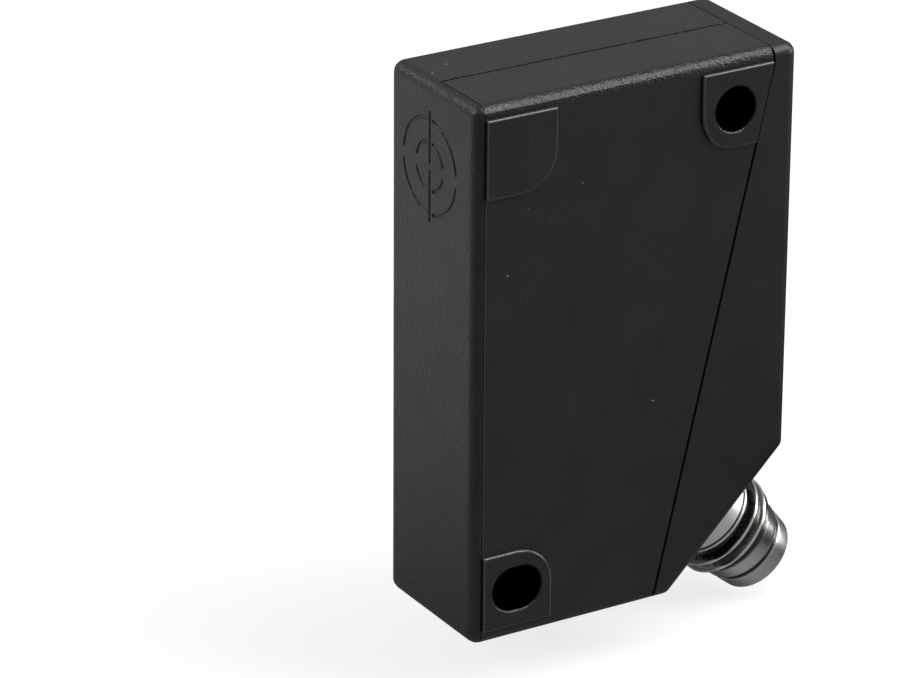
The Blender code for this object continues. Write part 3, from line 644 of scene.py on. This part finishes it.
# %% Narrower seams, in millimetres
NEAR = 0.01
COVER_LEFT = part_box("front_cover")[0].x / MM
PAD_FACE = FRONT / MM + NEAR
PAD_FOOT = (FRONT + PAD_RISE) / MM + NEAR
HOUSING_TOP = HOUSING_HIGH.z / MM
UPPER_PADS = 13.0
UPPER_PADS_TOP = 19.0
TOP_NEAR = 0.1
SCREW_PAD_LEFT = (4.5, 5.6)
SCREW_PAD_SLANT = 10.7
SLANT = 0.226
SEAM_AT_TOP = 11.06
SEAM_NEAR = 0.05


def on_left_side(x, y, z):
    return x < COVER_LEFT + NEAR


def on_top_of_the_pads(x, y, z):
    return abs(z - UPPER_PADS_TOP) < TOP_NEAR and y < PAD_FOOT


def left_of_the_screw_pad(x, y, z):
    return SCREW_PAD_LEFT[0] < x < SCREW_PAD_LEFT[1] and z > UPPER_PADS and y < PAD_FOOT


def on_the_screw_pads_slant(x, y, z):
    return x > SCREW_PAD_SLANT - SLANT * (HOUSING_TOP - z) and z > UPPER_PADS and y < PAD_FACE


def at_the_wedges_top(x, y, z):
    return z > HOUSING_TOP - TOP_NEAR and abs(x - SEAM_AT_TOP) < SEAM_NEAR


COVER_NUDGES = (
    ((-0.13, 0, 0), on_left_side),
    ((0, 0, 0.08), on_top_of_the_pads),
    ((0.15, 0, 0), left_of_the_screw_pad),
    ((-0.12, 0, 0), on_the_screw_pads_slant),
)
WEDGE_NUDGES = (((-0.12, 0, 0), at_the_wedges_top),)

# %% Cover and wedge
cover = rounded_copy("front_cover", *COVER_NUDGES)
finish_piece("cover", cover, housing_plastic, "housing_plastic", "front_cover", flat_walls=True)
wedge = rounded_copy("plug_block", *WEDGE_NUDGES)
finish_piece("wedge", wedge, wedge_plastic, "plug_block_plastic", "plug_block", flat_walls=True)

# %% [markdown]
# ## The target mark
#
# On the narrow left face two rings and a cross show where the coil is. They are grooves in the
# mould's copy, a quarter of a millimetre wide and under a tenth deep, broken where a level line
# through the middle would cross them. Each arc is a small face with four corners, spun round the
# mark's centre, and all of them are cut out of the back in one Boolean, so their walls catch the
# light as real ones do.

# %% Boolean on a bmesh
def boolean(bm, tool, operation):
    """One bmesh cut by, joined to or kept inside another, as a new bmesh."""
    objects = []
    for part in (bm, tool):
        mesh = bpy.data.meshes.new("work")
        part.to_mesh(mesh)
        part.free()
        objects.append(bpy.data.objects.new("work", mesh))
        bpy.context.scene.collection.objects.link(objects[-1])
    modifier = objects[0].modifiers.new("work", "BOOLEAN")
    modifier.operation = operation
    modifier.object = objects[1]
    graph = bpy.context.evaluated_depsgraph_get()
    made = bmesh.new()
    made.from_mesh(objects[0].evaluated_get(graph).to_mesh())
    for obj in objects:
        bpy.data.meshes.remove(obj.data)
    return made


# %% The grooves' section
MARK_CENTRE = Vector((HOUSING_LOW.x, -5.4 * MM, 13.9 * MM))
MARK_DEPTH = 0.08 * MM
MARK_TOP = 0.28 * MM
MARK_BOTTOM = 0.16 * MM
MARK_SPLAY = (MARK_TOP - MARK_BOTTOM) / 2

# How deep, and how far to either side: it narrows inwards, and it starts as far outside the face as
# it goes in.
SECTION = [
    (MARK_DEPTH, -MARK_BOTTOM / 2),
    (-MARK_DEPTH, -MARK_TOP / 2 - MARK_SPLAY),
    (-MARK_DEPTH, MARK_TOP / 2 + MARK_SPLAY),
    (MARK_DEPTH, MARK_BOTTOM / 2),
]

# %% Arcs and lines
ARC_STEPS = 16


def groove_arc(bm, radius, start, end):
    """A curved bar round the mark's centre, from one angle to another, standing through the face."""
    direction = Vector((0, math.cos(start), math.sin(start)))
    corners = [MARK_CENTRE + Vector((depth, 0, 0)) + direction * (radius + side) for depth, side in SECTION]
    face = bm.faces.new([bm.verts.new(corner) for corner in corners])
    bmesh.ops.spin(
        bm,
        geom=[face, *face.edges, *face.verts],
        cent=MARK_CENTRE,
        axis=(1, 0, 0),
        dvec=(0, 0, 0),
        angle=end - start,
        steps=ARC_STEPS,
        use_merge=False,
    )


def groove_line(bm, low_z, high_z):
    """An upright bar through the mark's centre."""
    corners = [MARK_CENTRE + Vector((depth, side, low_z)) for depth, side in SECTION]
    face = bm.faces.new([bm.verts.new(corner) for corner in corners])
    grown = bmesh.ops.extrude_face_region(bm, geom=[face])["geom"]
    moved = [item for item in grown if isinstance(item, bmesh.types.BMVert)]
    bmesh.ops.translate(bm, vec=(0, 0, high_z - low_z), verts=moved)


# %% The mark, cut out of the back
OUTER_RING = 3.45 * MM
INNER_RING = 1.76 * MM
UPRIGHT_REACH = 4.03 * MM
UPRIGHT_GAP = 0.25 * MM
RING_GAP_UP = 0.34 * MM
RING_GAP_ACROSS = 0.42 * MM

mark = bmesh.new()
for radius in (OUTER_RING, INNER_RING):
    from_level = math.asin(RING_GAP_ACROSS / radius)
    from_upright = math.asin(RING_GAP_UP / radius)
    for quarter in range(4):
        before, after = (from_level, from_upright) if quarter % 2 == 0 else (from_upright, from_level)
        start = quarter * math.pi / 2 + before
        groove_arc(mark, radius, start, (quarter + 1) * math.pi / 2 - after)
groove_line(mark, UPRIGHT_GAP, UPRIGHT_REACH)
groove_line(mark, -UPRIGHT_REACH, -UPRIGHT_GAP)
bmesh.ops.recalc_face_normals(mark, faces=mark.faces)
print("the mark's bars have", len(mark.faces), "faces")

back = boolean(rounded_copy("rear_housing"), mark, "DIFFERENCE")
finish_piece("back", back, housing_plastic, "housing_plastic", "rear_housing", flat_walls=True)

# %% [markdown]
# ## The plug
#
# The plug is turned from brass bar and threaded. The solid has a coarse version with 48 sides. This
# one is turned again with 128, so its reflections run round it without breaks. Its outline is drawn
# once, as points with a radius and a distance along the axis, and spun. The nose and the band behind
# it are slightly conical, as their reflections in the photo are. The ridge of the thread is a small
# section spun along a helix. Its ends run out by keeping only what lies inside a second turned shape,
# and then it is joined to the body.

# %% Turning round the plug's axis
PLUG_BASE = Vector((8.2 * MM, -5.7 * MM, -15.2 * MM))
PLUG_PLACE = Matrix.Translation(PLUG_BASE) @ Matrix.Rotation(math.radians(135), 4, "Y")


def turned(profile, steps=128):
    """A closed outline of (radius, height) in millimetres, spun round Z."""
    bm = bmesh.new()
    verts = [bm.verts.new((radius * MM, 0, height * MM)) for radius, height in profile]
    edges = [bm.edges.new((vert, verts[i - 1])) for i, vert in enumerate(verts)]
    bmesh.ops.spin(
        bm,
        geom=[*verts, *edges],
        cent=(0, 0, 0),
        axis=(0, 0, 1),
        dvec=(0, 0, 0),
        angle=2 * math.pi,
        steps=steps,
        use_merge=True,
    )
    bmesh.ops.remove_doubles(bm, verts=bm.verts, dist=MERGE / 2)
    bmesh.ops.recalc_face_normals(bm, faces=bm.faces)
    return bm


def corner(centre, radius, start, end, steps):
    """Points of a rounded corner, from one angle to another in degrees."""
    angles = [math.radians(start + (end - start) * i / steps) for i in range(steps + 1)]
    return [(centre[0] + radius * math.cos(a), centre[1] + radius * math.sin(a)) for a in angles]


# %% The sleeve's sizes, in millimetres
ROOT_R = 3.36
NECK_R = 3.3
THREAD_R = 3.95
SOCKET_R = 2.6
NOSE_R = 3.12
FLANGE_R = 4.1
NOSE_END = 9.04
BAND_END = 7.24
RELIEF_AT = 2.79
SLEEVE_END = -3.7
FLANGE_AT = -2.7

NOSE_ROUND = 0.27
NOSE_TAPER = 0.08
NOSE_FOOT = 0.12
NOSE_FLARE = 0.05
GROOVE_WIDTH = 0.3
GROOVE_DEPTH = 0.25
BAND_ROUND = 0.35
BAND_TAPER = 0.08
TAPER_STEPS = 5
RING_STEP = 0.2
RINGS = 18
RELIEF_WIDTH = 0.15
RELIEF_DEPTH = 0.12
SOCKET_ROUND = 0.15

# %% The sleeve's outline
band_edge = BAND_END - BAND_ROUND
outline = [
    *corner((NOSE_R - NOSE_TAPER - NOSE_ROUND, NOSE_END - NOSE_ROUND), NOSE_ROUND, 90, 6, 6),
    *corner((NOSE_R + NOSE_FLARE - NOSE_FOOT, BAND_END + GROOVE_WIDTH + NOSE_FOOT), NOSE_FOOT, 6, -90, 6),
    (NOSE_R - GROOVE_DEPTH, BAND_END + GROOVE_WIDTH),
    (NOSE_R - GROOVE_DEPTH, BAND_END),
    *corner((ROOT_R - BAND_TAPER - BAND_ROUND, band_edge), BAND_ROUND, 90, 5, 8),
]
for i in range(1, RINGS + 1):
    taper = BAND_TAPER * max(0, 1 - i / TAPER_STEPS)
    outline.append((ROOT_R - taper, band_edge - RING_STEP * i))
outline += [
    (ROOT_R, RELIEF_AT + RELIEF_WIDTH),
    (NECK_R - RELIEF_DEPTH, RELIEF_AT + RELIEF_WIDTH),
    (NECK_R - RELIEF_DEPTH, RELIEF_AT),
    (NECK_R, RELIEF_AT),
    (NECK_R, FLANGE_AT),
    (FLANGE_R, FLANGE_AT),
    (FLANGE_R, SLEEVE_END),
    (SOCKET_R, SLEEVE_END),
    *corner((SOCKET_R + SOCKET_ROUND, NOSE_END - SOCKET_ROUND), SOCKET_ROUND, 180, 90, 4),
]
sleeve = turned(outline)
print("the sleeve's outline has", len(outline), "points")

# %% The thread
THREAD_FROM = 3.04
THREAD_TO = 5.84
PITCH = 1.0
SPARE_TURNS = 1
STEPS_PER_TURN = 96
SINK = 0.12
SUNK = ROOT_R - SINK
CREST = PITCH / 16
CREST_DROP = 0.04
CREST_OUT = 0.02
CREST_IN = 0.03
FLANK_FOOT = CREST + (THREAD_R - ROOT_R) * math.tan(math.radians(30))

ridge = bmesh.new()
section = [
    (SUNK, -FLANK_FOOT),
    (ROOT_R, -FLANK_FOOT),
    (THREAD_R - CREST_DROP, -CREST - CREST_OUT),
    (THREAD_R, -CREST + CREST_IN),
    (THREAD_R, CREST - CREST_IN),
    (THREAD_R - CREST_DROP, CREST + CREST_OUT),
    (ROOT_R, FLANK_FOOT),
    (SUNK, FLANK_FOOT),
]
first = THREAD_FROM - SPARE_TURNS * PITCH
face = ridge.faces.new([ridge.verts.new((r * MM, 0, (first + z) * MM)) for r, z in section])
steps = round(STEPS_PER_TURN * ((THREAD_TO - THREAD_FROM) / PITCH + 2 * SPARE_TURNS))
bmesh.ops.spin(
    ridge,
    geom=[face, *face.edges, *face.verts],
    cent=(0, 0, 0),
    axis=(0, 0, 1),
    dvec=(0, 0, PITCH * MM / STEPS_PER_TURN),
    angle=2 * math.pi * steps / STEPS_PER_TURN,
    steps=steps,
    use_merge=False,
)
bmesh.ops.recalc_face_normals(ridge, faces=ridge.faces)
print("the ridge makes", round(steps / STEPS_PER_TURN, 1), "turns before its ends are cut")

# %% Run out the ends, and join
run_out = THREAD_R - SUNK
envelope = turned([
    (SUNK - SINK, THREAD_TO),
    (SUNK, THREAD_TO),
    (THREAD_R + SINK, THREAD_TO - run_out),
    (THREAD_R + SINK, THREAD_FROM + run_out),
    (SUNK, THREAD_FROM),
    (SUNK - SINK, THREAD_FROM),
])
ridge = boolean(ridge, envelope, "INTERSECT")
sleeve = boolean(sleeve, ridge, "UNION")
bmesh.ops.transform(sleeve, matrix=PLUG_PLACE, verts=sleeve.verts)

# %% [markdown]
# ## Nickel plating
#
# The sleeve is plated with satin nickel. A lathe leaves fine rings round the brass and the plating
# follows them, so the bump is noise that changes only along the axis. The thread's crests and the
# collar at its foot are painted a brighter nickel, a painted highlight; the nose is rougher and
# painted a darker nickel, painted shade; and the thread's roots and the groove behind the nose are
# painted dark, painted shade. A Mapping node turns the place on the object into the plug's own
# directions. Each of these zones is then a fade between two heights along the axis, or between two
# distances from it, and their products and maxima choose the colour and the gloss.

# %% Lathe lines
NICKEL = (0.77, 0.76, 0.74)
LATHE_LINES = 0.08 * MM
LATHE_DEPTH = 0.0012 * MM

nickel, tree, shader, place = new_material("nickel_plating", NICKEL, 0.22, 1.0)
to_plug = PLUG_PLACE.inverted()
turned_place = add_node(
    tree,
    "ShaderNodeMapping",
    Vector=place,
    Location=to_plug.to_translation(),
    Rotation=to_plug.to_euler(),
)
axes = split(tree, turned_place.outputs["Vector"])
only_along = add_node(tree, "ShaderNodeCombineXYZ", Z=axes["Z"])
bump(tree, shader, noise(tree, only_along.outputs["Vector"], LATHE_LINES), LATHE_DEPTH)

# %% Zones of painted highlight and painted shade, in millimetres
COLLAR_ENDS = (RELIEF_AT + 0.36, RELIEF_AT + 0.33)
PROUD = (NECK_R - 0.08, NECK_R - 0.03)
CRESTS = (THREAD_R - 0.12, THREAD_R - 0.06)
NOSE_STARTS = (BAND_END + 0.4, BAND_END + 0.55)
THREAD_ENDS = (THREAD_TO + 0.1, THREAD_TO)
OUTSIDE = (3.0, 3.05)
SHADE_THINS = (3.7, 4.3)
SHADE_SHARES = (0.98, 0.75)
GROOVE_STARTS = (BAND_END - 0.03, BAND_END)
GROOVE_ENDS = (BAND_END + 0.33, BAND_END + 0.3)
GROOVE_DEEP = (NOSE_R - 0.13, NOSE_R - 0.18)
GROOVE_OUTSIDE = (2.7, 2.75)
GROOVE_SHADE_SHARE = 0.78


def fade(value, borders, ends=(0, 1)):
    """One end before the first of two borders in millimetres, and the other past the second."""
    return map_range(tree, value, [border * MM for border in borders], ends)


height = axes["Z"]
radius = distance(tree, axes["X"], axes["Y"])
neck = product(tree, fade(height, COLLAR_ENDS), fade(radius, PROUD))
nose = fade(height, NOSE_STARTS)
crest = fade(radius, CRESTS)
below = math_node(tree, "SUBTRACT", fade(height, THREAD_ENDS), neck)
root_shade = product(tree, below, fade(height, SHADE_THINS, SHADE_SHARES), fade(radius, OUTSIDE))
groove_shade = product(
    tree,
    fade(height, GROOVE_STARTS),
    fade(height, GROOVE_ENDS),
    fade(radius, GROOVE_DEEP, (0, GROOVE_SHADE_SHARE)),
    fade(radius, GROOVE_OUTSIDE),
)
painted_shade = math_node(tree, "MAXIMUM", root_shade, groove_shade)

# %% The plated sleeve
HIGHLIGHT_NICKEL = (0.95, 0.94, 0.92)
SHADED_NICKEL = (0.71, 0.7, 0.685)
ROOT_SHADE_COLOR = (0.1, 0.096, 0.094)
SMUDGE_SIZE = 1.2 * MM
SATIN = (0.14, 0.24)
NECK_MATT = 0.3
NOSE_MATT = 0.12

# Painted shade: the thread's roots and the groove behind the nose are painted dark.
with_painted_shade = mix_colors(tree, painted_shade, NICKEL, ROOT_SHADE_COLOR)
# Painted highlight: the crests and the neck are painted a brighter nickel.
with_painted_highlight = mix_colors(tree, math_node(tree, "MAXIMUM", neck, crest), with_painted_shade, HIGHLIGHT_NICKEL)
# Painted shade: the nose is painted a darker nickel.
tree.links.new(mix_colors(tree, nose, with_painted_highlight, SHADED_NICKEL), shader.inputs["Base Color"])
satin = map_range(tree, noise(tree, place, SMUDGE_SIZE, detail=3.0), NOISE_SPAN, SATIN)
matt = math_node(tree, "MAXIMUM", product(tree, neck, NECK_MATT), product(tree, nose, NOSE_MATT))
tree.links.new(math_node(tree, "ADD", satin, matt), shader.inputs["Roughness"])
print("nickel_plating has", len(tree.nodes), "nodes")
finish_piece("plug_sleeve", sleeve, nickel, "nickel_plated_brass", "connector_sleeve")

# %% [markdown]
# ## Pins and their carrier
#
# Inside the plug three gold-plated pins stand in a black carrier. A lathe rounds the tip of a pin, so
# each is turned again with a dome. They show only to someone who looks into the plug.

# %% Gold plating
GOLD = (0.85, 0.62, 0.25)
GOLD_SMUDGES = 0.4 * MM
GOLD_GLOSS = (0.12, 0.28)

gold, tree, shader, place = new_material("gold_plating", GOLD, 0.18, 1.0)
smudges = noise(tree, place, GOLD_SMUDGES, detail=3.0)
tree.links.new(map_range(tree, smudges, NOISE_SPAN, GOLD_GLOSS), shader.inputs["Roughness"])

# %% Turned pins, in millimetres
PIN_R = 0.5
PIN_TIP = 0.1
PIN_CIRCLE = 1.4
PIN_LOW = -6.2
PIN_HIGH = 7.54
PIN_ANGLES = {"1": 210, "3": 330, "4": 90}

for number, angle in PIN_ANGLES.items():
    dome = corner((0, PIN_HIGH - PIN_R), PIN_R, 90, 0, 8)
    tail = [(PIN_R, PIN_LOW + PIN_TIP), (PIN_R - PIN_TIP, PIN_LOW), (0, PIN_LOW)]
    pin = turned([*dome, *tail], steps=32)
    turn = math.radians(angle)
    aside = Matrix.Translation((PIN_CIRCLE * MM * math.cos(turn), PIN_CIRCLE * MM * math.sin(turn), 0))
    bmesh.ops.transform(pin, matrix=PLUG_PLACE @ aside, verts=pin.verts)
    finish_piece("pin_" + number, pin, gold, "gold_plated_brass", "contact_pin_" + number)

# %% [markdown]
# ## What the solids keep
#
# The carrier, the seal and everything inside keep the shapes of the solids, and each gets the finish
# of its real material. Nothing real is perfectly even, so the gloss and the colour of each vary a
# little over small spots.

# %% Finishes of the inner pieces
GLOSS_SWING = 0.15


def uneven(name, color, roughness, size, metallic=0.0, depth=0.0):
    """A finish whose gloss and colour vary a little over spots of this size."""
    made, tree, shader, place = new_material(name, color, roughness, metallic)
    spots = noise(tree, place, size, detail=3.0)
    swing = (roughness * (1 - GLOSS_SWING), roughness * (1 + GLOSS_SWING))
    tree.links.new(map_range(tree, spots, NOISE_SPAN, swing), shader.inputs["Roughness"])
    tree.links.new(mix_colors(tree, spots, shade(color, DARK_PATCH), color), shader.inputs["Base Color"])
    if depth:
        bump(tree, shader, spots, depth)
    return made


FINISHES = {
    "pin_carrier": uneven("carrier_plastic", (0.02, 0.02, 0.02), 0.5, 0.2 * MM, depth=0.003 * MM),
    "seal_ring": uneven("seal_rubber", (0.02, 0.02, 0.02), 0.7, 0.3 * MM),
    "ferrite_core": uneven("ferrite", (0.05, 0.048, 0.046), 0.55, 0.1 * MM, depth=0.004 * MM),
    "coil_bobbin": uneven("bobbin_plastic", (0.75, 0.72, 0.62), 0.5, 0.6 * MM),
    "coil_": uneven("enamelled_wire", (0.45, 0.16, 0.06), 0.35, 0.15 * MM, 1.0),
    "circuit_board": uneven("solder_mask", (0.02, 0.16, 0.07), 0.4, 1.2 * MM),
    "capacitor": uneven("ceramic", (0.62, 0.48, 0.3), 0.5, 0.3 * MM),
    "diode": uneven("diode_glass", (0.55, 0.2, 0.12), 0.15, 0.8 * MM),
    "led": uneven("led_resin", (0.85, 0.8, 0.5), 0.25, 0.5 * MM),
    "lead_wire_1": uneven("brown_insulation", (0.12, 0.05, 0.02), 0.45, 0.5 * MM),
    "lead_wire_3": uneven("blue_insulation", (0.02, 0.06, 0.3), 0.45, 0.5 * MM),
    "lead_wire_4": uneven("black_insulation", (0.02, 0.02, 0.02), 0.45, 0.5 * MM),
    "": uneven("chip_plastic", (0.02, 0.02, 0.022), 0.5, 0.2 * MM, depth=0.004 * MM),
}
for node_name, node_object in NODES.items():
    if not node_object.hide_render:
        chosen = next(made for part, made in FINISHES.items() if part in node_name)
        node_object.data.materials.clear()
        node_object.data.materials.append(chosen)
        print(node_name, "is finished in", chosen.name)
